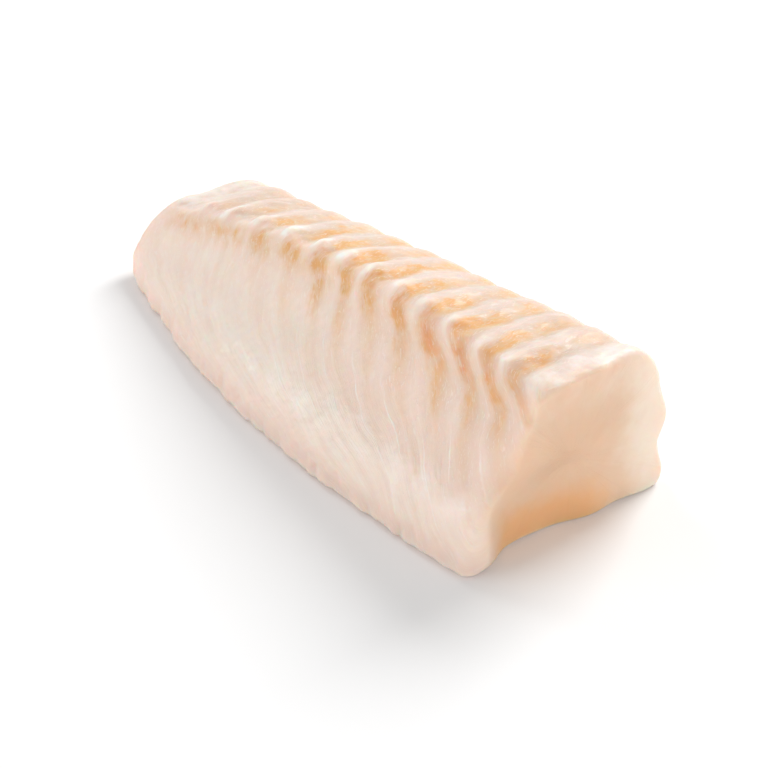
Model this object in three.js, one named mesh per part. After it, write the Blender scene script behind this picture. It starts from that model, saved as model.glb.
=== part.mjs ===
// A raw cod loin: one thick skinless portion cut from the back of the fillet.
//
// It lies along X with its thick cut face at +X and its thin cut face at -X, and rests flat on z = 0.
// The front, at -Y, is a long slope that runs down to a soft foot. The crest is the line where that
// slope meets the top. The back, at +Y, is steep and has one shallow furrow along it.
// The muscle flakes lie across the top as rounded ridges, and below the crest they sweep towards +X.
//
// Sizes are in millimetres. While the surface is worked out, x runs from 0 at the thin end to LENGTH
// at the thick end, and a share of the length runs from 0 to 1 with it.

import * as THREE from "three";

// The body.
const LENGTH = 150;
const FOOT_BOW = 8.2; // how far the foot bows out at mid length
const FOOT_DRIFT = 1.2; // how much further out the foot lies at the thick end
const FOOT_HEIGHT = 5.5;
const FOOT_EDGE = 1; // the height of the foot's blunt edge
const FOOT_TUCK = 0.9; // from the foot's line in to where the flat base begins
const THIN_BOW = 1.8; // how much further out the slope's middle lies at the thin end
const CREST_THIN = 20.5; // the crest's height at the thin end
const CREST_RISE = 15.3;
const CREST_RISE_SHARE = 0.62; // the share of the length over which the crest rises
const CREST_SETBACK = 14.2; // how far the crest lies behind the foot's line
const CREST_BOW = 2.3;
const BACK_THIN = 22; // the back edge's height at the thin end
const BACK_RISE = 14.3;
const BACK_SETBACK = 38.5; // how far the back edge lies behind the foot's line
const BACK_DRIFT = 2.6;
const BACK_BULGE = 8.5; // how far the back stands out beyond its upper edge
const BULGE_DRIFT = 0.7; // how much further it stands out at the thick end
const BACK_FURROW = 0.8; // the depth of the furrow along the back
const BACK_FOOT = 2.4; // how far the back's foot stands out at the thick end
const TOP_CROWN = 0.8;

// The flakes.
const PITCH_THIN = 14.2; // from flake to flake at the thin end
const PITCH_SHRINK = 0.4; // the share of that pitch that is lost by the thick end
const FIRST_FLAKE = 0.9; // the share of its first flake that the thin end cuts off
const WIDE_FLAKES = 0.42; // by how many flakes the count lags at mid length, where they are widest
const FLAKE_DEPTH = 1.1;
const STEP_THIN = 4; // how far a flake steps towards +X just under the crest, near the thin end
const STEP_THICK = 11; // and near the thick end
const STEP_HEIGHT = 9; // how far below the crest that step ends
const SWEEP_SLOPE = 0.4; // how far a flake moves towards +X for each millimetre further down
const SWEEP_CURVE = 0.06; // how much that grows with each millimetre low on the slope
const SLOPE_FADE = 9; // the ridges sink into the front slope over about this distance
const BACK_FADE = 38; // over the top and down the back they have gone after this distance

// The cut faces.
const EDGE_ROUND = 2;
const FACE_REACH = 26; // how far along the body a face's own shape is felt
const FOOT_LOBE = 1.2; // how far the foot stands out of the thick face
const FOOT_CURL = 3.6; // how far the foot's corner curls in towards that face
const CURL_REACH = 5; // over how much of the length it does so
const THICK_HOLLOW = 3.4; // the depth of the hollow in that face beside the foot
const THIN_SWELL = 6.8; // how far the thin face swells out, at half its height

// The mesh.
const STATIONS = 58;
const EDGE_STEPS = 3;
const FACE_SIZES = [0.88, 0.7, 0.5, 0.27]; // the inner rings of a face, as a share of its edge
const TURN_STEPS = [2, 2, 2, 2, 4, 2, 4, 2, 2, 2, 2, 2]; // steps round each corner
const SIDE_STEPS = [1, 1, 4, 5, 3, 3, 2, 2, 1, 1, 1, 9]; // steps on the side after it
const CREST_CORNER = 4;

const { clamp, smoothstep } = THREE.MathUtils;
const bell = (x, middle, width) => Math.exp(-(((x - middle) / width) ** 2));

// A corner of the cross-section: its place, and how much of each side its rounding takes.
const corner = (y, z, round) => ({ point: new THREE.Vector2(y, z), round });

// The corners at a share of the length, from the flat base up the front, over the top and down the back.
function corners(share) {
  const bow = Math.sin(Math.PI * share);
  const rise = 1 - Math.max(0, 1 - share / CREST_RISE_SHARE) ** 1.6;
  const footY = -FOOT_BOW * bow - FOOT_DRIFT * share;
  const crestY = CREST_SETBACK + CREST_BOW * bow;
  const crestZ = CREST_THIN + CREST_RISE * rise;
  const backY = BACK_SETBACK + BACK_DRIFT * share + bow;
  const backZ = BACK_THIN + BACK_RISE * share ** 0.85;
  const bulgeY = backY + BACK_BULGE + 0.5 * bow + BULGE_DRIFT * share;
  const backFootY = bulgeY + BACK_FOOT * share ** 3;
  const slopeY = footY + 0.55 * (crestY - footY) - THIN_BOW * (1 - smoothstep(share, 0, 0.3));
  return [
    corner(footY + FOOT_TUCK, 0, 0.7),
    corner(footY - 0.4, FOOT_EDGE, 1),
    corner(footY + 1.2, FOOT_HEIGHT, 2),
    corner(slopeY, 0.56 * crestZ, 6),
    corner(crestY, crestZ, 4),
    corner((crestY + backY) / 2, (crestZ + backZ) / 2 + TOP_CROWN, 6),
    corner(backY, backZ, 5),
    corner(backY + 0.76 * BACK_BULGE, 0.74 * backZ, 4),
    corner(bulgeY, 0.52 * backZ, 3),
    corner(bulgeY - BACK_FURROW, 0.33 * backZ, 2.2),
    corner(backFootY, 0.1 * backZ, 1.8),
    corner(backFootY - 2, 0, 1.5),
  ];
}

// Where the rounding of one corner ends, on the way to another.
function roundingEnd(from, to) {
  const way = to.point.clone().sub(from.point);
  const taken = Math.min(from.round, 0.48 * way.length());
  return from.point.clone().addScaledVector(way.normalize(), taken);
}

// The rounded outline through the corners, as points.
function outline(share) {
  const list = corners(share);
  return list.flatMap((here, i) => {
    const before = list.at(i - 1);
    const after = list[(i + 1) % list.length];
    const turn = new THREE.QuadraticBezierCurve(
      roundingEnd(here, before),
      here.point,
      roundingEnd(here, after),
    );
    const side = new THREE.LineCurve(turn.v2, roundingEnd(after, here));
    return [
      ...turn.getPoints(TURN_STEPS[i]),
      ...side.getPoints(SIDE_STEPS[i]).slice(1, -1),
    ];
  });
}

// The crest's place in that list: the middle of its corner's turn.
const CREST_POINT = TURN_STEPS.slice(0, CREST_CORNER).reduce(
  (place, steps, i) => place + steps + SIDE_STEPS[i],
  TURN_STEPS[CREST_CORNER] / 2,
);

// How many flakes lie between the thin end and x. The pitch shrinks evenly, so the count is a logarithm,
// less the lag where the flakes are widest.
function flakesBefore(x) {
  const left = 1 - (PITCH_SHRINK * x) / LENGTH;
  const even = -(LENGTH / (PITCH_THIN * PITCH_SHRINK)) * Math.log(left);
  return FIRST_FLAKE + even - WIDE_FLAKES * bell(x, 76, 30);
}

// How far a flake has moved towards +X at a distance down from the crest: a step just under the crest,
// and then a sweep that is weaker near the thick end.
function sweepAt(x, down) {
  const step = STEP_THIN + (STEP_THICK - STEP_THIN) * smoothstep(x, 92, 138);
  const past = Math.max(0, down - STEP_HEIGHT);
  const low = Math.max(0, down - 14);
  const sweep = SWEEP_SLOPE * past + SWEEP_CURVE * low ** 2;
  return step * smoothstep(down, 0, STEP_HEIGHT) + sweep * (1 - 0.6 * smoothstep(x, 115, 142));
}

// How deep the surface lies in the furrow between two flakes. down is the distance from the crest:
// down the front slope if it is positive, and over the top and down the back if it is negative.
function furrowDepth(x, down) {
  const flake = flakesBefore(x - sweepAt(x, down));
  const fromMiddle = 2 * Math.abs(flake - Math.round(flake));
  const fade =
    down > 0
      ? Math.exp(-down / SLOPE_FADE)
      : 1 - smoothstep(-down, 0.6 * BACK_FADE, BACK_FADE);
  return FLAKE_DEPTH * fade * fromMiddle ** 2;
}

// How far the thick face stands out at y, z. It is flat above, and low down it has the foot's lobe at
// the front and a hollow beside it.
function thickFace(y, z) {
  const lobe = FOOT_LOBE * bell(y, -2, 4) * (1 - smoothstep(z, 0, 15));
  const beside = smoothstep(y, -1, 9) * (1 - 0.8 * smoothstep(y, 12, 38));
  return lobe - THICK_HOLLOW * beside * (1 - smoothstep(z, 0, 32));
}

const thinFace = (z) => THIN_SWELL * bell(z, 10.5, 9.5);

// How far the foot's corner curls in at y, z, on a quarter turn that ends at the thick face.
function footCurl(x, y, z) {
  const onArc = clamp((x - LENGTH) / CURL_REACH + 1, 0, 1);
  const low = 1 - smoothstep(z, 2, 17);
  const atFront = 1 - smoothstep(y, 0, 25);
  return FOOT_CURL * (1 - Math.sqrt(1 - onArc ** 2)) * low * atFront;
}

// The point at y, z of the section at x, with the shape of the face nearby.
function onBody(x, { x: y, y: z }) {
  const nearThick = smoothstep(x, LENGTH - FACE_REACH, LENGTH);
  const nearThin = 1 - smoothstep(x, 0, FACE_REACH);
  const standsOut = nearThick * thickFace(y, z) - nearThin * thinFace(z);
  return new THREE.Vector3(x + standsOut, y + footCurl(x, y, z), z);
}

// The section of the body at x, drawn in by inset on every side, as at a rounded edge.
function section(x, inset) {
  const points = outline(x / LENGTH);
  const count = points.length;
  const at = (i) => points[(i + count) % count];
  const along = [0];
  for (let i = 1; i < count; i++)
    along.push(along[i - 1] + at(i).distanceTo(at(i - 1)));
  const box = new THREE.Box2().setFromPoints(points);
  const centre = box.getCenter(new THREE.Vector2());
  const kept = box
    .getSize(new THREE.Vector2())
    .subScalar(2 * inset)
    .divide(box.getSize(new THREE.Vector2()));
  return points.map((point, i) => {
    const way = at(i + 1).clone().sub(at(i - 1)).normalize();
    const inwards = new THREE.Vector2(way.y, -way.x);
    const onBase = point.y < 0.1 * FOOT_HEIGHT;
    const sink = onBase ? 0 : furrowDepth(x, along[CREST_POINT] - along[i]);
    return point
      .clone()
      .addScaledVector(inwards, sink)
      .sub(centre)
      .multiply(kept)
      .add(centre);
  });
}

// The rings along the body. Each end's edge is rounded by a quarter turn.
function bodyRings() {
  const turn = Array.from({ length: EDGE_STEPS }, (_, k) => {
    const angle = (Math.PI / 2) * (k / EDGE_STEPS);
    const depth = EDGE_ROUND * (1 - Math.cos(angle));
    return { x: depth, inset: EDGE_ROUND * (1 - Math.sin(angle)) };
  });
  const straight = Array.from({ length: STATIONS + 1 }, (_, k) => ({
    x: EDGE_ROUND + ((LENGTH - 2 * EDGE_ROUND) * k) / STATIONS,
    inset: 0,
  }));
  const thickTurn = turn.map(({ x, inset }) => ({ x: LENGTH - x, inset }));
  return [...turn, ...straight, ...thickTurn.reverse()].map(({ x, inset }) =>
    section(x, inset).map((point) => onBody(x, point)),
  );
}

// The rings of the face at x, from its edge inwards, and its middle.
function faceRings(x) {
  const edge = section(x, EDGE_ROUND);
  const middle = edge
    .reduce((sum, point) => sum.add(point), new THREE.Vector2())
    .divideScalar(edge.length);
  const rings = FACE_SIZES.map((size) =>
    edge.map((point) => onBody(x, middle.clone().lerp(point, size))),
  );
  return { rings, middle: onBody(x, middle) };
}

// The closed surface of the loin, with the middle of its box's base at the origin.
function loinGeometry() {
  const thin = faceRings(0);
  const thick = faceRings(LENGTH);
  const rings = [...thin.rings.reverse(), ...bodyRings(), ...thick.rings];
  const round = rings[0].length;
  const thinMiddle = rings.length * round;
  const thickMiddle = thinMiddle + 1;
  const triangles = [];
  for (let j = 0; j < round; j++) {
    const next = (j + 1) % round;
    for (let i = 0; i + 1 < rings.length; i++) {
      const [a, b] = [i * round + j, i * round + next];
      triangles.push(a, b + round, b, a, a + round, b + round);
    }
    const last = (rings.length - 1) * round;
    triangles.push(j, next, thinMiddle, last + next, last + j, thickMiddle);
  }
  const geometry = new THREE.BufferGeometry()
    .setFromPoints([...rings.flat(), thin.middle, thick.middle])
    .setIndex(triangles);
  geometry.computeBoundingBox();
  const { min, max } = geometry.boundingBox;
  geometry.translate(-(min.x + max.x) / 2, -(min.y + max.y) / 2, -min.z);
  geometry.computeVertexNormals();
  return geometry;
}

const flesh = new THREE.MeshStandardMaterial({
  color: new THREE.Color(0.93, 0.83, 0.75),
  roughness: 0.38,
  metalness: 0,
});

const loin = new THREE.Mesh(loinGeometry(), flesh);
loin.name = "cod_loin";

const portion = new THREE.Group();
portion.add(loin);

export default portion;
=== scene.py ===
"""A raw, skinless cod loin on a white ground, worked out as one closed surface with numpy.

The loin lies along X with its thick cut face at +X. The front, at -Y, is a long slope down to a soft
foot, the crest is the line where that slope meets the top, and the back, at +Y, is steep. The shape is
worked out in millimetres with x from 0 at the thin end to LENGTH at the thick end, and is then moved to
the middle of the model's box.

Two coordinates follow the surface: the flake number, which counts the muscle flakes from the thin end,
and the distance down from the crest, which is negative over the top and down the back.
"""

import math

import bpy
import numpy as np
from bpy.props import FloatProperty, FloatVectorProperty, PointerProperty
from bpy.types import Operator, Panel, PropertyGroup
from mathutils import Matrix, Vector


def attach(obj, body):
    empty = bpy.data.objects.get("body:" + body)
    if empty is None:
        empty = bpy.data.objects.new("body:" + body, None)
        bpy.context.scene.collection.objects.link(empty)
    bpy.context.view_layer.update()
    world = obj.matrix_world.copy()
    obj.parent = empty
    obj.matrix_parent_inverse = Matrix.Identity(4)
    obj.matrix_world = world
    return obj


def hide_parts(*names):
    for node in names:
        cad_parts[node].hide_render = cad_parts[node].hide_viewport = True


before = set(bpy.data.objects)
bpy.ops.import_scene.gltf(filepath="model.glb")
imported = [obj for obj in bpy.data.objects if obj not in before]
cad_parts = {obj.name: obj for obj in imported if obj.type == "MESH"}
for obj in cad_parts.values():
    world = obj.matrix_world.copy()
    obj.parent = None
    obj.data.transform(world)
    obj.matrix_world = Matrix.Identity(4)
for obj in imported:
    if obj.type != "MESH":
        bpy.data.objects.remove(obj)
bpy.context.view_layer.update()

bl_info = {
    "name": "Cod Loin",
    "version": (1, 0, 0),
    "blender": (4, 5, 0),
    "location": "View3D > Sidebar > Cod Loin",
    "description": "Builds a raw cod loin and the ground it lies on",
    "category": "Add Mesh",
}

MM = 0.001  # one millimetre in Blender's metres

# The body, in millimetres.
LENGTH = 150.0  # from cut face to cut face, without what swells out of them
MIDDLE = (71.934, 21.641, 0.0)  # the middle of the box's lower face, before the loin is centred
FOOT_BOW = 8.2  # how far the foot bows out at mid length
FOOT_DRIFT = 1.2  # how much further out the foot lies at the thick end
FOOT_HEIGHT = 5.5  # the height at which the foot's front turns into the slope
FOOT_EDGE = 1.0  # the height of the foot's blunt edge
FOOT_TUCK = 0.9  # from the foot's line in to where the flat base begins
THIN_BOW = 1.8  # how much further out the slope's middle lies at the thin end
CREST_THIN = 20.5  # the crest's height at the thin end
CREST_RISE = 15.3  # how much higher it is at the thick end
CREST_RISE_SHARE = 0.62  # the share of the length over which it rises
CREST_POWER = 1.6  # above 1 it rises steeply at first and levels out
CREST_SETBACK = 14.2  # how far the crest lies behind the thin end's foot
CREST_BOW = 2.3  # how much further back it lies at mid length
BACK_THIN = 22.0  # the height of the back's upper edge at the thin end
BACK_RISE = 14.3  # how much higher that edge is at the thick end
BACK_POWER = 0.85  # below 1 it rises a little faster at first
BACK_SETBACK = 38.5  # how far it lies behind the thin end's foot
BACK_DRIFT = 2.6  # how much further back it lies at the thick end
BACK_BULGE = 8.5  # how far the back stands out beyond its upper edge
BULGE_DRIFT = 0.7  # how much further it stands out at the thick end
BACK_FURROW = 0.8  # the depth of the furrow along the back
BACK_FOOT = 2.4  # how far the back's foot stands out at the thick end
TOP_CROWN = 0.8  # how far the top stands above the line from the crest to the back's edge
MOST_OF_SIDE = 0.48  # the largest share of a side that a corner's rounding takes

# The flakes. Lengths are in millimetres.
PITCH_SHRINK = 0.4  # the share of the thin end's pitch that is lost by the thick end
FIRST_FLAKE = 0.9  # the share of its first flake that the thin end cuts off
COUNT_LAG = 0.42  # by how many flakes the count lags at most, after a stretch of wider ones
LAG_AT = 76.0  # where along the loin it lags most
LAG_REACH = 30.0  # how far to each side that is felt
STEP_THIN = 4.0  # how far a flake steps towards +X just under the crest, near the thin end
STEP_THICK = 11.0  # how far it steps near the thick end
STEP_GROWS = (92.0, 138.0)  # between these places along the loin the step grows
STEP_START_THIN = 1.5  # how far below the crest it begins near the thin end
STEP_START_THICK = -2.0  # near the thick end it begins a little above the crest
STEP_END = 9.0  # how far below the crest it ends
SWEEP_START = 8.0  # how far below the crest the flakes begin to sweep towards +X
SWEEP_SLOPE = 0.45  # how far they move that way for each millimetre further down
CURVE_START = 14.0  # how far below the crest they begin to sweep ever faster
SWEEP_CURVE = 0.06  # how much more, for each squared millimetre beyond that
CURVE_LOSS = 0.6  # the share of that curve that is missing at the thick end
LOWER_FRONT = (15.0, 22.0)  # between these distances below the crest the lower front begins
FURROW_POWER = 1.3  # above 1 the furrows are narrower than the ridges
KNUCKLE_HEIGHT = 0.6  # how far a knuckle stands up at the crest
KNUCKLE_WIDTH = 0.17  # its half width, as a share of a flake
STREAK_RELIEF = 0.06  # how far the streaks along the flakes stand up
GRAIN_RELIEF = 0.035  # how far the fibres stand up
PORE_RELIEF = 0.04  # how far the smallest bumps stand up
SLOPE_SWELL = 0.5  # how far the low swell above the foot stands out
SWELL_HEIGHT = 11.5  # how high above the base that swell and its sheen lie

# The cut faces, in millimetres.
FACE_REACH = 26.0  # how far along the body a cut face's own shape is felt
SOFT_EDGE = 2.6  # the rounding of a face's edge
SLOPE_EDGE = 1.9  # how much rounder the thick face's edge is halfway down the slope
CRISP_EDGE = 1.1  # the rounding along the top and the foot of the thick face
FOOT_LOBE = 1.2  # how far the foot stands out of the thick face
FOOT_CURL = 3.6  # how far the foot's corner curls in towards +Y at that face
CURL_REACH = 5.0  # over how much of the length it does so
THICK_HOLLOW = 3.4  # the depth of the hollow in that face beside the foot
THIN_SWELL = 6.8  # how far the thin face swells out at its middle

# The mesh.
TURN_STEPS = (8, 6, 8, 14, 18, 18, 18, 12, 10, 8, 7, 6)  # steps round each corner of the section
SIDE_STEPS = (2, 3, 28, 24, 4, 4, 4, 3, 4, 2, 3, 40)  # steps on the side after it
CREST_CORNER = 4  # which of the section's corners is the crest, counted from 0
BEFORE_CREST = sum(TURN_STEPS[:CREST_CORNER]) + sum(SIDE_STEPS[:CREST_CORNER])
CREST_POINT = BEFORE_CREST + TURN_STEPS[CREST_CORNER] // 2  # the point that lies on the crest
STATIONS = 320  # rings along the body
EDGE_RINGS = 7  # rings round the edge of each cut face
FACE_RINGS = 15  # rings on each cut face

# The flesh's looks. Lengths are in metres, as the shaders take them.
POINTED_AMBER = 0.25  # the share of the amber that narrows to a point where its reach ends
BUMP_HEIGHT = 0.00035  # how high the fine relief stands
SCATTER_DEPTH = 0.005  # how far red light wanders inside the flesh

# The stage, in metres.
GROUND_REACH = 3.0  # how far the ground goes on each side
KEY_PLACE, KEY_SIZE = (-0.38, 1.48, 1.21), 0.8
FILL_PLACE, FILL_SIZE = (-0.85, -1.75, 0.32), 1.5
SIDE_PLACE, SIDE_SIZE = (1.9, 0.2, 0.42), 0.8
GLINT_PLACE, GLINT_SIZE = (-1.35, 0.15, 1.5), 0.36
NEAREST_SEEN = 0.005  # the camera sees nothing nearer than this
SENSOR_WIDTH = 36.0  # millimetres


# ---------------------------------------------------------------- numbers


def smooth(x, low, high):
    """0 up to low and 1 from high on, along 3t^2 - 2t^3 between them."""
    t = np.clip((x - low) / (high - low), 0, 1)
    return t * t * (3 - 2 * t)


def bell(x, middle, width):
    """A bell that is 1 at the middle and 1/e one width away from it."""
    return np.exp(-(((x - middle) / width) ** 2))


def mix(a, b, share):
    """a where share is 0 and b where it is 1."""
    return a + (b - a) * share


def ripples(a, b, size, seed, count=16):
    """A soft random field over a and b, mostly within -1 and 1: a sum of sines whose directions, starts
    and wavelengths, near size, are drawn from the seed."""
    draw = np.random.default_rng(seed)
    total = np.zeros(np.broadcast(a, b).shape)
    for _ in range(count):
        way = draw.uniform(0, math.pi)
        wavelength = size * draw.uniform(0.7, 1.6)
        start = draw.uniform(0, 2 * math.pi)
        across = a * math.cos(way) + b * math.sin(way)
        total += np.sin(2 * math.pi * across / wavelength + start)
    return total / math.sqrt(count)


# ---------------------------------------------------------------- the loin's shape


def corners(share):
    """The section's twelve corners (y, z) at each share of the length, and how many millimetres of each
    side a corner's rounding takes. They run up the front, over the top and down the back."""
    bow = np.sin(np.pi * share)
    rise = 1 - np.maximum(0, 1 - share / CREST_RISE_SHARE) ** CREST_POWER
    foot_y = -FOOT_BOW * bow - FOOT_DRIFT * share
    crest_y = CREST_SETBACK + CREST_BOW * bow
    crest_z = CREST_THIN + CREST_RISE * rise
    back_y = BACK_SETBACK + BACK_DRIFT * share + bow
    back_z = BACK_THIN + BACK_RISE * share**BACK_POWER
    bulge_y = back_y + BACK_BULGE + 0.5 * bow + BULGE_DRIFT * share
    back_foot_y = bulge_y + BACK_FOOT * share**3
    slope_y = mix(foot_y, crest_y, 0.55) - THIN_BOW * (1 - smooth(share, 0, 0.3))
    ground = np.zeros_like(share)
    points = [
        (foot_y + FOOT_TUCK, ground, 0.7),  # the front edge of the flat base
        (foot_y - 0.4, ground + FOOT_EDGE, 1),  # the foot's blunt edge
        (foot_y + 1.2, ground + FOOT_HEIGHT, 2),  # the top of the foot
        (slope_y, 0.56 * crest_z, 6),  # the slope's middle
        (crest_y, crest_z, 4),  # the crest
        ((crest_y + back_y) / 2, (crest_z + back_z) / 2 + TOP_CROWN, 6),  # the middle of the top
        (back_y, back_z, 5),  # the back's upper edge
        (back_y + 6.5, 0.74 * back_z, 4),  # the back's shoulder
        (bulge_y, 0.52 * back_z, 3),  # where the back bulges most
        (bulge_y - BACK_FURROW, 0.33 * back_z, 2.2),  # the furrow along the back
        (back_foot_y, 0.1 * back_z, 1.8),  # the back's foot
        (back_foot_y - 2, ground, 1.5),  # the back edge of the flat base
    ]
    places = np.stack([np.stack([y, z], -1) for y, z, _ in points], 1)
    return places, np.array([rounding for _, _, rounding in points])


def outlines(share):
    """The rounded section through the corners at each share of the length, as points (y, z). Each corner
    is a quadratic Bezier curve whose ends lie on its two sides, and between two corners the points are
    evenly spaced on the straight side."""
    here, rounding = corners(share)
    before, after = np.roll(here, 1, axis=1), np.roll(here, -1, axis=1)

    def towards(other):
        way = other - here
        length = np.linalg.norm(way, axis=-1, keepdims=True)
        taken = np.minimum(rounding[None, :, None], MOST_OF_SIDE * length)
        return here + way / length * taken

    start, end = towards(before), towards(after)
    following = np.roll(start, -1, axis=1)
    pieces = []
    for i, (turn, side) in enumerate(zip(TURN_STEPS, SIDE_STEPS)):
        t = (np.arange(turn) / turn)[None, :, None]
        a, b, c = (p[:, i, None, :] for p in (start, here, end))
        pieces.append((1 - t) ** 2 * a + 2 * t * (1 - t) * b + t**2 * c)
        t = (np.arange(side) / side)[None, :, None]
        pieces.append(mix(c, following[:, i, None, :], t))
    return np.concatenate(pieces, 1)


def flake_numbers(x, down, pitch):
    """The flakes counted from the thin end to each point, with what that end cuts off the first one.
    The pitch shrinks evenly along the loin, so the count is a logarithm. It lags most at LAG_AT, which
    makes the flakes wider before that place and narrower behind it. Just under the crest the flakes
    step towards +X, most near the thick end, and from there they sweep that way, ever faster near the
    foot, but less so at the thick end."""
    past, far = np.maximum(down - SWEEP_START, 0), np.maximum(down - CURVE_START, 0)
    curve = SWEEP_CURVE * (1 - CURVE_LOSS * smooth(x, 115, 142))
    sweep = SWEEP_SLOPE * past + curve * far**2
    step_start = mix(STEP_START_THIN, STEP_START_THICK, smooth(x, 100, 130))
    step = mix(STEP_THIN, STEP_THICK, smooth(x, *STEP_GROWS)) * smooth(down, step_start, STEP_END)
    wander = 0.5 * ripples(x, down * 0.6, 26, 11) + 0.35 * ripples(x, down, 9, 12)
    along = x - sweep - step + wander
    left = 1 - PITCH_SHRINK * np.minimum(along, 1.6 * LENGTH) / LENGTH
    even = -LENGTH / (pitch * PITCH_SHRINK) * np.log(left)
    return FIRST_FLAKE + even - COUNT_LAG * bell(along, LAG_AT, LAG_REACH)


def ring_plan():
    """The rings from the middle of the thin face to the middle of the thick one. For each: its place
    along the loin, the angle by which it has turned from the face into the body, which is a quarter
    turn in the body itself, and its size as a share of the face's edge."""
    angle = np.linspace(0, math.pi / 2, EDGE_RINGS, endpoint=False)
    sizes = np.sin(np.linspace(0, math.pi / 2, FACE_RINGS + 2)[1:-1])
    body = np.linspace(0, LENGTH, STATIONS)
    ones = np.ones
    place = np.concatenate([0 * sizes, 0 * angle, body, LENGTH + 0 * angle, LENGTH + 0 * sizes])
    turned = np.concatenate([0 * sizes, angle, ones(STATIONS) * math.pi / 2, angle[::-1], 0 * sizes])
    size = np.concatenate([sizes, ones(EDGE_RINGS), ones(STATIONS), ones(EDGE_RINGS), sizes[::-1]])
    return place, turned, size


def loin_surface(shape):
    """The loin's points on a grid of rings by points round a ring, its two face middles, and the values
    that its looks follow. A ring is the section at its place along the loin. The relief is added square
    to it, near a cut face it shrinks along a rounded edge, and on the face it shrinks to the middle."""
    place, turned, size = ring_plan()
    share = place / LENGTH
    flat = outlines(share)
    step = np.linalg.norm(np.diff(flat, axis=1), axis=-1)
    run = np.concatenate([np.zeros((len(flat), 1)), np.cumsum(step, 1)], 1)
    down = run[:, CREST_POINT, None] - run

    # The thick face's edge is crisp along the top and the foot, and softer down the slope.
    high = flat[..., 1] / flat[..., 1].max(1, keepdims=True)
    at_thick = place[:, None] > LENGTH / 2
    crisp = np.maximum(smooth(high, 0.8, 0.97), 1 - smooth(high, 0.02, 0.15)) * at_thick
    soft = SOFT_EDGE + SLOPE_EDGE * bell(down, 24, 10) * at_thick
    edge = mix(soft, CRISP_EDGE, crisp) * (1 + 0.3 * ripples(down, 0, 12, 33) * at_thick)
    # Between the two rounded edges the stations are spread evenly over what the edges leave.
    inner = mix(edge, LENGTH - edge, share[:, None])
    in_body = (turned[:, None] == math.pi / 2) & (size[:, None] == 1)
    depth = edge * (1 - np.cos(turned))[:, None]
    x = np.where(in_body, inner, np.where(at_thick, LENGTH - depth, depth))
    inset = edge * (1 - np.sin(turned))[:, None]

    low, top = flat.min(1, keepdims=True), flat.max(1, keepdims=True)
    centre, extent = (low + top) / 2, top - low
    way = np.roll(flat, -1, 1) - np.roll(flat, 1, 1)
    way /= np.linalg.norm(way, axis=-1, keepdims=True)
    outwards = np.stack([-way[..., 1], way[..., 0]], -1)

    flake = flake_numbers(x, down, shape.flake_pitch / MM)
    relief = flake_relief(x, flat[..., 1], down, flake, shape)
    off_base = smooth(flat[..., 1], 0, 1.1)  # 0 on the base, which stays flat
    section = flat + outwards * (relief * off_base)[..., None]
    section[..., 0] -= foot_waves(x, section, shape)
    section = centre + (section - centre) * (1 - 2 * inset[..., None] / extent)
    middle = section.mean(1, keepdims=True)
    section = middle + (section - middle) * size[:, None, None]
    y, z = section[..., 0], section[..., 1]
    grid = with_faces(x, y, z)
    ends = [(0.0, *middle[0, 0]), (LENGTH, *middle[-1, 0])]
    middles = [with_faces(*(np.array([value]) for value in end))[0] for end in ends]

    cut = (1 - np.sin(turned))[:, None] + 0 * x
    return grid, middles, {"x": x, "y": y, "z": z, "down": down, "flake": flake, "cut": cut}


def flake_relief(x, z, down, flake, shape):
    """How far the skinless surface stands off the plain section. The furrows between the flakes follow a
    raised cosine of the flake number, are deepest at the crest and fade down the slope, sooner near the
    thin end, and over the back. To them come a knuckle on each ridge at the crest, soft unevenness, the
    torn ends of the fibres along the flakes, fine streaks and grain and a low swell above the foot."""
    off = flake - np.round(flake)
    reach = mix(4.5, 6, smooth(x, 55, 95))
    fade = np.where(down > 0, np.exp(-np.maximum(down, 0) / reach), 1 - smooth(-down, 20, 38))
    gentler = 1 - 0.25 * smooth(x, 70, 100)
    depth = shape.flake_depth / MM * (1 + 0.3 * ripples(x, down, 17, 21)) * gentler
    furrow = depth * fade * (0.5 - 0.5 * np.cos(2 * np.pi * flake)) ** FURROW_POWER
    knuckle = KNUCKLE_HEIGHT * bell(off, 0, KNUCKLE_WIDTH) * bell(down, -1.5, 3)
    knuckle *= (1 + 0.5 * ripples(x, down, 8, 28)) * gentler
    uneven = shape.unevenness / MM * (0.9 * ripples(x, down, 30, 22) + 0.3 * ripples(x, down, 9, 23))
    torn = shape.tornness / MM * bell(down, -6, 16) * ripples(flake * 5, down * 0.3, 1.1, 29)
    streaks = STREAK_RELIEF * ripples(flake * 2.4, down * 0.08, 1.3, 30) * smooth(down, 2, 10)
    fine = GRAIN_RELIEF * ripples(flake * 9, down * 0.4, 1.6, 24)
    fine += PORE_RELIEF * ripples(x, down, 2.4, 25)
    swell = SLOPE_SWELL * bell(z, SWELL_HEIGHT, 5) * smooth(down, *LOWER_FRONT)
    return knuckle - furrow + uneven + torn + streaks + fine + swell


def foot_waves(x, section, shape):
    """How far the foot stands out towards -Y, in long waves and short ragged ones. It moves the front of
    the flat base too, so that the foot meets the ground without an overhang."""
    y, z = section[..., 0], section[..., 1]
    near = (1 - smooth(y - y.min(1, keepdims=True), 2, 9)) * (1 - smooth(z, 2, 9))
    wavy = 0.8 * ripples(x, 0 * x, 15, 26) + 0.6 * ripples(x, 0 * x, 6, 27)
    ragged = 0.5 * ripples(x, z * 0.4, 2.6, 36)
    return shape.foot_waviness / MM * (wavy + ragged) * near


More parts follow.
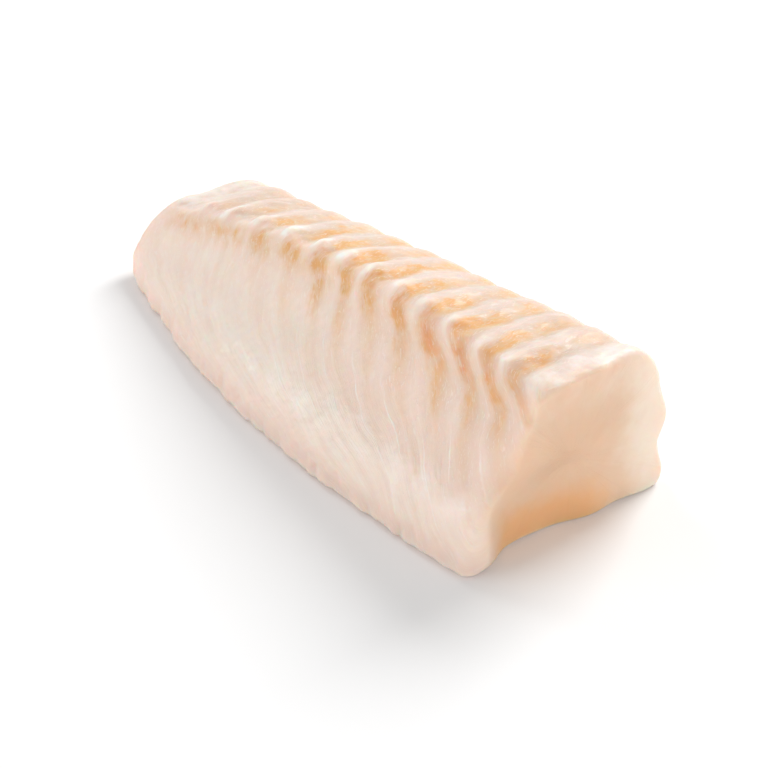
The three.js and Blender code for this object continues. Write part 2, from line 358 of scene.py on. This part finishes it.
def with_faces(x, y, z):
    """The point at x and (y, z), moved by the shape of the cut face nearby. The thick face is flat
    above, and low down it has the foot's lobe at the front and a hollow beside it, while the foot's
    corner curls in on a quarter circle. The thin face swells out around the middle of its height."""
    near_thick = smooth(x, LENGTH - FACE_REACH, LENGTH)
    near_thin = 1 - smooth(x, 0, FACE_REACH)
    lobe = FOOT_LOBE * bell(y, -2, 4) * (1 - smooth(z, 0, 15))
    hollow = THICK_HOLLOW * smooth(y, -1, 9) * (1 - 0.8 * smooth(y, 12, 38)) * (1 - smooth(z, 0, 32))
    wavy = 0.3 * ripples(y, z, 16, 31) + 0.35 * smooth(z, 26, 36) * ripples(y, 0 * z, 9, 34)
    thin = THIN_SWELL * bell(z, 10.5, 9.5) + 0.3 * ripples(y, z, 14, 32)
    on_arc = np.clip((x - LENGTH) / CURL_REACH + 1, 0, 1)
    curl = FOOT_CURL * (1 - np.sqrt(1 - on_arc**2)) * (1 - smooth(z, 2, 17)) * (1 - smooth(y, 0, 25))
    return np.stack([x + near_thick * (lobe - hollow + wavy) - near_thin * thin, y + curl, z], -1)


def closed_mesh(name, grid, middles, values):
    """A mesh from rings of points that are joined to the next ring all round, with the first and last
    ring closed by a fan to its middle. values holds, by name, a number for each point of the grid."""
    rings, round_ = grid.shape[:2]
    points = np.concatenate([grid.reshape(-1, 3), np.stack(middles)])
    points = (points - MIDDLE) * MM
    j = np.arange(round_)
    following = (j + 1) % round_
    a = np.arange(rings - 1)[:, None] * round_ + j
    b = np.arange(rings - 1)[:, None] * round_ + following
    quads = np.stack([a, a + round_, b + round_, b], -1).reshape(-1, 4)
    last = (rings - 1) * round_
    thin_middle = rings * round_ + 0 * j
    thin_fan = np.stack([j, following, thin_middle], -1)
    thick_fan = np.stack([last + following, last + j, thin_middle + 1], -1)
    mesh = bpy.data.meshes.new(name)
    mesh.from_pydata(points.tolist(), [], quads.tolist() + thin_fan.tolist() + thick_fan.tolist())
    mesh.polygons.foreach_set("use_smooth", np.ones(len(mesh.polygons), bool))
    for label, value in values.items():
        layer = mesh.attributes.new(label, "FLOAT", "POINT")
        ends = [value[0].mean(), value[-1].mean()]
        layer.data.foreach_set("value", np.concatenate([value.ravel(), ends]).astype(np.float32))
    mesh.update()
    piece = bpy.data.objects.new(name, mesh)
    bpy.context.scene.collection.objects.link(piece)
    return piece


def looks(at):
    """The values that tell the flesh material what lies where. flake and down are the surface's two
    coordinates. The others run from 0 to 1, and amber up to 1.2. What follows the flakes, such as
    amber, ridge, knuckle and line, is here only as how strongly it may show, and the material works out
    the pattern itself from the flake number. The bounds, middles and widths below are millimetres along
    the loin, down from the crest or up from the base."""
    x, y, z, down, flake = (at[k] for k in ("x", "y", "z", "down", "flake"))
    body = 1 - at["cut"]
    over = smooth(-down, -1, 3)  # 1 over the top and the back
    under = 1 - over
    on_front = smooth(down, *LOWER_FRONT)
    thick = smooth(x, 60, 100)
    thin = 1 - thick
    last = smooth(x, 130, 142)  # 1 on the last flake before the thick face

    # The amber between the flakes, over the top and some way down the slope.
    patchy = 1 + 0.3 * ripples(x, down, 10, 41)
    near_crest = 1 + 0.6 * bell(down, -4, 4) * thick - 0.6 * bell(down, -0.5, 2.2) * thin
    far_over = (1 - 0.3 * smooth(-down, 8, 15)) * (1 - smooth(-down, 18, 36))
    amber_over = mix(0.45, 0.95, smooth(x, 35, 60)) * near_crest * far_over * over * (1 - 0.45 * last)
    amber_under = 1.08 * smooth(x, 28, 80) * bell(np.maximum(down, 0), 0, mix(14, 18, thick)) * under
    amber = (amber_over + amber_under) * patchy * (1 - smooth(x, LENGTH - 1, LENGTH + 1))

    # The mottled band just under the crest, and the redder patch in it near the thick end.
    clumps = np.clip(1 + 0.3 * ripples(x, down, 5, 46), 0.3, 1.4)
    band = bell(down, 4, 4.3) * smooth(down, -1.5, 4) * smooth(x, 2, 12) * mix(0.52, 0.3, thick) * clumps
    blush = bell(x, 124, 16) * bell(down, 4, 3)

    # Darker down the slope near the thick end, under the crest and over the last flake, and painted
    # shade far over the top, where the back's rounding catches the key light.
    darker_under = 0.45 * smooth(x, 90, LENGTH) * (1 - smooth(down, 24, 31))
    darker_under += 0.33 * bell(down, 8, 5.5) * thick
    darker_under += 0.3 * bell(down, 3.5, 4) * smooth(x, 2, 14) * thin
    shaded_and_darker_over = 0.5 * smooth(-down, 15, 24) + 0.4 * bell(down, -4, 5) * last
    darker_tint_and_shade = darker_under * under + shaded_and_darker_over * over

    # White knuckles at the crest, partly their own paleness and partly a painted glint, and the pale
    # ridges over the top and down the slope.
    pale_knuckles_and_glints = bell(down, mix(-1.9, -1.4, thick), mix(3.3, 2.2, thick)) * smooth(x, 12, 24)
    pale_knuckles_and_glints *= mix(2.1, 0.65, thick) * (1 - 0.75 * smooth(down, -0.5, 2.5) * thin)
    ribs_under = 0.43 * bell(down, 12, 11) * smooth(x, 25, 50)
    ribs = ribs_under * under + 0.45 * over * (1 - 0.6 * smooth(-down, 10, 25))

    # Thin white lines low on the slope, the wet sheen over the swell and the pinkish foot.
    line = smooth(down, 12, 20) * (1 - smooth(down, 31, 35)) * smooth(x, 70, 90)
    line *= np.clip(0.7 + 0.6 * ripples(x, down, 10, 45), 0, 1)
    sheen = bell(z, SWELL_HEIGHT, 3.6) * on_front * smooth(x, 12, 45)
    sheen *= 0.8 + 0.35 * ripples(x, down, 8, 43)
    fringe = (1 - smooth(z, 2, mix(8.5, 6, smooth(x, 90, 120)))) * on_front

    # The pale rim of the thick face, and the paler top at the thin end.
    rim = smooth(x, LENGTH - 8, LENGTH - 3.5) * smooth(down, -40, -20) * (1 - smooth(down, 30, 40))
    rim *= mix(1, 0.3, smooth(down, -2, 3))
    pale_end = 0.9 * (1 - smooth(x, 4, 18)) * over

    # The cut faces are paler near the back, as painted light, and darker low down, as painted shade, and
    # the foot's corner keeps the slope's own colour.
    corner = (1 - smooth(y, -2, 5)) * (1 - smooth(z, 15, 25))
    across = smooth(y - 0.38 * z, -7, 6) * (1 - smooth(y, 28, 48))
    low = (1 - smooth(z, 1, 14)) * smooth(y, 1, 10) * (1 - 0.7 * smooth(y, 22, 48))
    face_light_and_shade = 0.55 * across * (1 - 0.35 * smooth(z, 22, 33)) + 0.55 * low
    on_body = {
        "band": band,
        "blush": blush,
        "darker_tint_and_shade": darker_tint_and_shade,
        "knuckle": pale_knuckles_and_glints,
        "ridge": ribs,
        "line": line,
        "sheen": sheen,
        "rim": np.maximum(rim, pale_end),
    }
    shares = {name: np.clip(value, 0, 1) * body for name, value in on_body.items()}
    for name in ("knuckle", "ridge"):
        shares[name] *= 1 - rim
    shares["amber"] = np.clip(amber, 0, 1.2) * np.sqrt(np.maximum(body, 0))
    shares["fringe"] = np.clip(fringe, 0, 1)
    shares["cut"] = at["cut"] * (1 - corner)
    shares["face_light_and_shade"] = np.clip(face_light_and_shade, 0, 1)
    return {"flake": flake, "down": down, "over": over, **shares}


# ---------------------------------------------------------------- materials


def socket(tree, target, value):
    """Links value to the socket target if it is an output, and sets it otherwise."""
    if isinstance(value, bpy.types.NodeSocket):
        tree.links.new(value, target)
    else:
        target.default_value = value


def add(tree, kind, inputs=(), **settings):
    """A new node with its settings made and its named or numbered inputs linked or set."""
    made = tree.nodes.new(kind)
    for name, value in settings.items():
        setattr(made, name, value)
    for name, value in dict(inputs).items():
        socket(tree, made.inputs[name], value)
    return made


def maths(tree, operation, *values, clamp=False):
    """The output of a Math node."""
    made = add(tree, "ShaderNodeMath", enumerate(values), operation=operation, use_clamp=clamp)
    return made.outputs[0]


def rising(tree, value, low, high, first=0.0, last=1.0):
    """first up to low and last from high on, smooth between them."""
    inputs = {"Value": value, "From Min": low, "From Max": high, "To Min": first, "To Max": last}
    return add(tree, "ShaderNodeMapRange", inputs, interpolation_type="SMOOTHSTEP").outputs["Result"]


def blend_colour(tree, share, first, second):
    """first where share is 0 and second where it is 1."""
    made = add(tree, "ShaderNodeMix", data_type="RGBA")
    for index, value in ((0, share), (6, first), (7, second)):
        if isinstance(value, tuple):
            value = (*value[:3], 1)
        socket(tree, made.inputs[index], value)
    return made.outputs[2]


def value_of(tree, name):
    """The mesh attribute of that name, as a number."""
    return add(tree, "ShaderNodeAttribute", attribute_name=name).outputs["Fac"]


def noise(tree, vector, scale=1.0, detail=3.0, rough=0.55, distortion=0.0):
    """Fractal noise over the vector, around 0.5."""
    inputs = {"Vector": vector, "Scale": scale, "Detail": detail, "Roughness": rough}
    inputs["Distortion"] = distortion
    return add(tree, "ShaderNodeTexNoise", inputs).outputs["Fac"]


def product(tree, *values):
    """The values multiplied together, kept between 0 and 1 at each step."""
    total = values[0]
    for value in values[1:]:
        total = maths(tree, "MULTIPLY", total, value, clamp=True)
    return total


def times_plus(tree, value, factor, added, clamp=False):
    """value times factor, plus added."""
    return maths(tree, "MULTIPLY_ADD", value, factor, added, clamp=clamp)


def flesh_masks(tree):
    """How strongly each look shows at a point, from the mesh's values and from noises. Most follow how
    far the point lies from a flake's ridge, with the flake number wobbled so that no edge is even."""
    place = add(tree, "ShaderNodeTexCoord").outputs["Object"]
    flake, down, over = (value_of(tree, name) for name in ("flake", "down", "over"))

    def along_flakes(across, along):
        """The flake number and the distance down, scaled to stretch a noise along the flakes."""
        parts = {0: maths(tree, "MULTIPLY", flake, across), 1: maths(tree, "MULTIPLY", down, along)}
        return add(tree, "ShaderNodeCombineXYZ", parts).outputs[0]

    mottle = noise(tree, place, 260.0, detail=4.0)
    speckle = noise(tree, place, 900.0, detail=2.0, rough=0.6)
    grain = noise(tree, along_flakes(13.0, 0.3), distortion=0.4)
    streaks = noise(tree, along_flakes(2.4, 0.06), detail=4.0, rough=0.6, distortion=0.5)
    fleck_noise = noise(tree, along_flakes(21.0, 0.55), detail=1.0, rough=0.5, distortion=1.6)
    mottle_off = maths(tree, "SUBTRACT", mottle, 0.5)

    def from_ridge(wobble):
        """0 on a flake's ridge and 0.5 in the furrow."""
        strayed = times_plus(tree, mottle_off, wobble, flake)
        return maths(tree, "PINGPONG", times_plus(tree, grain, wobble * 0.5, strayed), 0.5)

    broken = rising(tree, mottle, 0.25, 0.7, 0.35, 1.15)
    streaked = rising(tree, grain, 0.3, 0.7, 0.75, 1.1)
    # Under the crest the amber takes a narrower share of each flake than over the top.
    narrowed = times_plus(tree, maths(tree, "SUBTRACT", over, 1.0), 0.05, from_ridge(0.4))
    between = rising(tree, narrowed, 0.05, 0.46)
    on_ridge = rising(tree, from_ridge(0.24), 0.02, 0.3, 1.0, 0.0)
    on_knuckle = rising(tree, from_ridge(0.25), 0.03, 0.2, 1.0, 0.0)
    on_skin = rising(tree, from_ridge(0.1), 0.0, 0.045, 1.0, 0.0)

    # A quarter of the amber narrows to a point where its reach ends, and the rest just fades out.
    reach = value_of(tree, "amber")
    pointed = maths(tree, "SUBTRACT", maths(tree, "ADD", between, reach), 1.0, clamp=True)
    faded = maths(tree, "MULTIPLY", product(tree, between, reach), 1 - POINTED_AMBER)
    amber = times_plus(tree, pointed, POINTED_AMBER, faded)
    amber = product(tree, amber, times_plus(tree, over, 0.35, 0.62))
    amber = maths(tree, "ADD", amber, value_of(tree, "band"), clamp=True)
    return {
        "over": over,
        "mottle": mottle,
        "speckle": speckle,
        "grain": grain,
        "dark streaks": rising(tree, streaks, 0.3, 0.6, 0.22, 0.0),
        "pale streaks": product(tree, rising(tree, streaks, 0.5, 0.75, 0.0, 0.5), broken),
        # Pale flecks along the flakes, partly short pale fibres and partly painted sparkle.
        "flecks": rising(tree, fleck_noise, 0.58, 0.7),
        "amber": product(tree, amber, streaked, rising(tree, mottle, 0.3, 0.6, 0.6, 1.15)),
        "ridge": product(tree, value_of(tree, "ridge"), on_ridge, streaked),
        "knuckle": product(tree, value_of(tree, "knuckle"), on_knuckle, broken),
        "skin": product(tree, value_of(tree, "line"), on_skin, broken),
        "sheen": product(tree, value_of(tree, "sheen"), broken),
        "blush": product(tree, value_of(tree, "blush"), between, broken),
        "rim": product(tree, value_of(tree, "rim"), broken),
    }


def flesh_colour(tree, masks, colours):
    """The plain colour of the slope or the top, with the other colours laid over it in turn, each by its
    share, and the cut faces' colour, warmer low down and in the middle, laid over all by the cut. On the
    cut faces, paler towards the back is painted light and darker low down is painted shade."""
    layers = [
        # Painted shade far over the top, and darker colour near the thick end and under the crest.
        (value_of(tree, "darker_tint_and_shade"), colours.darker_tint_and_shade),
        (masks["dark streaks"], colours.darker_tint_and_shade),
        (masks["pale streaks"], colours.skin),
        (value_of(tree, "fringe"), colours.fringe),
        (masks["amber"], colours.amber),
        (maths(tree, "POWER", masks["amber"], 2.5), colours.deep_amber),
        (product(tree, masks["blush"], 0.6), colours.blush),
        (masks["ridge"], colours.ridge),
        # A painted sheen: the wet swell is laid paler as well as made glossier.
        (product(tree, masks["sheen"], 0.5), colours.skin),
        # The flecks are partly short pale fibres and partly painted sparkle.
        (product(tree, masks["flecks"], 0.4), colours.skin),
        (masks["skin"], colours.skin),
        # The knuckles' colour is partly their own paleness and partly a painted glint.
        (masks["knuckle"], colours.knuckle),
        (masks["rim"], colours.rim),
    ]
    colour = blend_colour(tree, masks["over"], colours.slope[:], colours.top[:])
    for share, layer in layers:
        colour = blend_colour(tree, share, colour, layer[:])

    mottle_off = maths(tree, "SUBTRACT", masks["mottle"], 0.5)
    # The cut faces' painted light and shade, with some mottle.
    face_light_and_shade = times_plus(tree, mottle_off, 0.25, value_of(tree, "face_light_and_shade"))
    face = blend_colour(tree, rising(tree, face_light_and_shade, 0.0, 0.5), colours.face_pale_lit[:], colours.face[:])
    face = blend_colour(tree, rising(tree, face_light_and_shade, 0.45, 1.0), face, colours.face_low_shaded[:])
    return blend_colour(tree, maths(tree, "POWER", value_of(tree, "cut"), 0.7), colour, face)


def flesh_bump(tree, masks):
    """The normals of a fine relief that adds up the mottle, the grain, the specks, the skins and the
    flecks, each by its share."""
    height = maths(tree, "MULTIPLY", masks["mottle"], 0.45)
    for name, share in (("grain", 0.6), ("speckle", 0.18), ("skin", 0.35), ("flecks", 0.25)):
        height = times_plus(tree, masks[name], share, height)
    inputs = {"Strength": 0.55, "Distance": BUMP_HEIGHT, "Height": height}
    return add(tree, "ShaderNodeBump", inputs).outputs["Normal"]


def flesh_material(colours):
    """Moist, slightly see-through flesh. Its colour goes from the plain slope or top to amber between
    the flakes, pale on their ridges, white along the thin skins with a painted glint on the knuckles,
    and warmer on the cut faces with painted light and shade. It shines more on the knuckles and on the
    wet swell above the foot, which also has a painted sheen."""
    material = bpy.data.materials.new("cod_flesh")
    material.use_nodes = True
    tree = material.node_tree
    tree.nodes.clear()
    masks = flesh_masks(tree)
    less_sheen = times_plus(tree, masks["sheen"], -0.15, 0.45)
    wet_knuckles = times_plus(tree, masks["knuckle"], 0.35, 0.08)
    inputs = {
        "Base Color": flesh_colour(tree, masks, colours),
        "Roughness": times_plus(tree, masks["mottle"], 0.2, less_sheen),
        "IOR": 1.38,
        "Subsurface Weight": 0.85,
        "Subsurface Radius": (1.0, 0.45, 0.28),
        "Subsurface Scale": SCATTER_DEPTH,
        "Coat Weight": times_plus(tree, masks["sheen"], 0.3, wet_knuckles, clamp=True),
        "Coat Roughness": 0.13,
        "Normal": flesh_bump(tree, masks),
    }
    shader = add(tree, "ShaderNodeBsdfPrincipled", inputs)
    out = add(tree, "ShaderNodeOutputMaterial")
    tree.links.new(shader.outputs[0], out.inputs["Surface"])
    return material


def ground_material(colour):
    """A matt, nearly white ground."""
    material = bpy.data.materials.new("ground")
    material.use_nodes = True
    shader = material.node_tree.nodes["Principled BSDF"]
    shader.inputs["Base Color"].default_value = (*colour, 1)
    shader.inputs["Roughness"].default_value = 0.9
    shader.inputs["Specular IOR Level"].default_value = 0.1
    return material


# ---------------------------------------------------------------- settings


def length_setting(name, description, default):
    """A length that isn't negative, in metres."""
    return FloatProperty(
        name=name,
        description=description,
        default=default,
        min=0,
        unit="LENGTH",
        precision=5,
    )


def colour_setting(name, description, default):
    """A colour, as linear shares of red, green and blue."""
    return FloatVectorProperty(
        name=name,
        description=description,
        default=default,
        min=0,
        max=1,
        size=3,
        subtype="COLOR",
    )


def power_setting(name, description, default):
    """A light's power in watts."""
    return FloatProperty(name=name, description=description, default=default, min=0, unit="POWER")


class LoinShape(PropertyGroup):
    """The sizes of the loin's surface."""

    flake_pitch: length_setting("Flake pitch", "From flake to flake at the thin end", 0.0142)
    flake_depth: length_setting("Flake depth", "How deep the furrow between two flakes is", 0.0009)
    unevenness: length_setting("Unevenness", "How far the surface wanders off its plain form", 0.0003)
    tornness: length_setting("Tornness", "How far torn fibre ends stand out over the top", 0.00007)
    foot_waviness: length_setting("Foot waviness", "How far the foot's edge wanders in and out", 0.0003)


class FleshColours(PropertyGroup):
    """The colours of the flesh."""

    slope: colour_setting("Slope", "The plain flesh of the front slope", (0.96, 0.765, 0.66))
    top: colour_setting("Top", "The plain flesh of the top", (0.715, 0.575, 0.49))
    # Darker near the ends, under the crest and in the dark streaks, and painted shade far over the top.
    darker_tint_and_shade: colour_setting("Shade", "Darker flesh near the ends and far over the top", (0.72, 0.52, 0.40))
    amber: colour_setting("Amber", "Between the flakes", (0.83, 0.555, 0.325))
    deep_amber: colour_setting("Deep amber", "Deepest between the flakes", (0.82, 0.46, 0.19))
    blush: colour_setting("Blush", "The redder flesh near the thick end", (0.88, 0.40, 0.24))
    ridge: colour_setting("Ridge", "The back of a flake", (0.92, 0.75, 0.66))
    # Partly the knuckles' own paleness and partly a painted glint.
    knuckle: colour_setting("Knuckle", "The end of a flake at the crest", (1.0, 0.95, 0.88))
    # Besides the thin skins, this colour is laid on as the pale streaks, the flecks and a painted sheen
    # over the swell.
    skin: colour_setting("Skin", "The thin white skins between the flakes", (0.97, 0.86, 0.79))
    fringe: colour_setting("Fringe", "The foot of the slope", (0.87, 0.65, 0.56))
    rim: colour_setting("Rim", "Along the edge of the thick face", (0.87, 0.78, 0.71))
    # Painted light: the pale face colour, towards the back. Painted shade: the low face colour, low
    # down.
    face_pale_lit: colour_setting("Pale face", "The cut faces near the back", (0.86, 0.74, 0.61))
    face: colour_setting("Face", "The middle of the cut faces", (0.76, 0.52, 0.36))
    face_low_shaded: colour_setting("Low on the face", "The cut faces low down", (0.78, 0.43, 0.21))


class StageSettings(PropertyGroup):
    """The ground, the lights and the camera."""

    ground: colour_setting("Ground", "The ground's colour", (0.95, 0.95, 0.95))
    sky: FloatProperty(
        name="Sky",
        description="The strength of the white surroundings",
        default=0.45,
        min=0,
    )
    key: power_setting("Key light", "The large light behind the loin", 30)
    fill: power_setting("Fill light", "The low light in front of the slope", 22.5)
    side: power_setting("Side light", "The light that faces the thick end", 11)
    glint: power_setting("Glint light", "The small light that glints on the crest", 3.6)
    camera_place: FloatVectorProperty(
        name="Camera place",
        description="Where the camera stands",
        default=(0.195361, -0.122533, 0.139066),
        size=3,
        subtype="TRANSLATION",
        unit="LENGTH",
    )
    camera_azimuth: FloatProperty(
        name="Camera azimuth",
        description="The camera's turn about Z",
        default=math.radians(55.223),
        subtype="ANGLE",
    )
    camera_elevation: FloatProperty(
        name="Camera elevation",
        description="How far it looks down",
        default=math.radians(32),
        subtype="ANGLE",
    )
    lens: FloatProperty(
        name="Lens",
        description="Focal length in millimetres",
        default=51.56,
        min=1,
    )


# ---------------------------------------------------------------- operators


class COD_OT_loin(Operator):
    """Build the loin, with its flakes and cut faces"""

    bl_idname = "cod_loin.loin"
    bl_label = "Build Loin"

    def execute(self, context):
        scene = context.scene
        grid, middles, at = loin_surface(scene.cod_loin_shape)
        loin = closed_mesh("cod_loin_flesh", grid, middles, looks(at))
        loin.data.materials.append(flesh_material(scene.cod_flesh_colours))
        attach(loin, "root")
        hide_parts("cod_loin")
        return {"FINISHED"}


class COD_OT_stage(Operator):
    """Lay the ground and set the lights and the camera"""

    bl_idname = "cod_loin.stage"
    bl_label = "Set Stage"

    def execute(self, context):
        scene = context.scene
        stage = scene.cod_loin_stage
        ground = bpy.data.meshes.new("ground")
        r = GROUND_REACH
        ground.from_pydata([(-r, -r, 0), (r, -r, 0), (r, r, 0), (-r, r, 0)], [], [(0, 1, 2, 3)])
        floor = bpy.data.objects.new("ground", ground)
        scene.collection.objects.link(floor)
        ground.materials.append(ground_material(stage.ground[:]))

        world = bpy.data.worlds.new("surroundings")
        world.use_nodes = True
        background = world.node_tree.nodes["Background"]
        background.inputs["Color"].default_value = (1, 1, 1, 1)
        background.inputs["Strength"].default_value = stage.sky
        scene.world = world

        self.light(scene, "key", stage.key, KEY_SIZE, KEY_PLACE)
        self.light(scene, "fill", stage.fill, FILL_SIZE, FILL_PLACE)
        self.light(scene, "side", stage.side, SIDE_SIZE, SIDE_PLACE)
        self.light(scene, "glint", stage.glint, GLINT_SIZE, GLINT_PLACE)

        camera = bpy.data.objects.new("camera", bpy.data.cameras.new("camera"))
        scene.collection.objects.link(camera)
        turn, tilt = stage.camera_azimuth, stage.camera_elevation
        level = math.cos(tilt)
        ahead = Vector((-math.sin(turn) * level, math.cos(turn) * level, -math.sin(tilt)))
        camera.location = stage.camera_place
        camera.rotation_euler = ahead.to_track_quat("-Z", "Y").to_euler()
        camera.data.lens = stage.lens
        camera.data.sensor_width = SENSOR_WIDTH
        camera.data.clip_start = NEAREST_SEEN
        scene.camera = camera
        scene.view_settings.view_transform = "Standard"
        return {"FINISHED"}

    @staticmethod
    def light(scene, name, power, size, place):
        """A square area light at place that faces the loin."""
        lamp = bpy.data.lights.new(name, "AREA")
        lamp.energy, lamp.size = power, size
        light = bpy.data.objects.new(name, lamp)
        light.location = place
        light.rotation_euler = (-Vector(place)).to_track_quat("-Z", "Y").to_euler()
        scene.collection.objects.link(light)


class COD_PT_loin(Panel):
    """Lists the settings and the steps."""

    bl_label = "Cod Loin"
    bl_idname = "COD_PT_loin"
    bl_space_type = "VIEW_3D"
    bl_region_type = "UI"
    bl_category = "Cod Loin"

    def draw(self, context):
        scene = context.scene
        for settings in (scene.cod_loin_shape, scene.cod_flesh_colours, scene.cod_loin_stage):
            box = self.layout.box()
            for name in settings.bl_rna.properties.keys():
                if name not in ("rna_type", "name"):
                    box.prop(settings, name)
        for step in STEPS:
            self.layout.operator(step.bl_idname)


STEPS = (COD_OT_loin, COD_OT_stage)
CLASSES = (LoinShape, FleshColours, StageSettings, *STEPS, COD_PT_loin)


def register():
    for kind in CLASSES:
        bpy.utils.register_class(kind)
    bpy.types.Scene.cod_loin_shape = PointerProperty(type=LoinShape)
    bpy.types.Scene.cod_flesh_colours = PointerProperty(type=FleshColours)
    bpy.types.Scene.cod_loin_stage = PointerProperty(type=StageSettings)


def unregister():
    del bpy.types.Scene.cod_loin_stage
    del bpy.types.Scene.cod_flesh_colours
    del bpy.types.Scene.cod_loin_shape
    for kind in reversed(CLASSES):
        bpy.utils.unregister_class(kind)


def main():
    register()
    bpy.ops.cod_loin.loin()
    bpy.ops.cod_loin.stage()


if __name__ == "__main__":
    main()
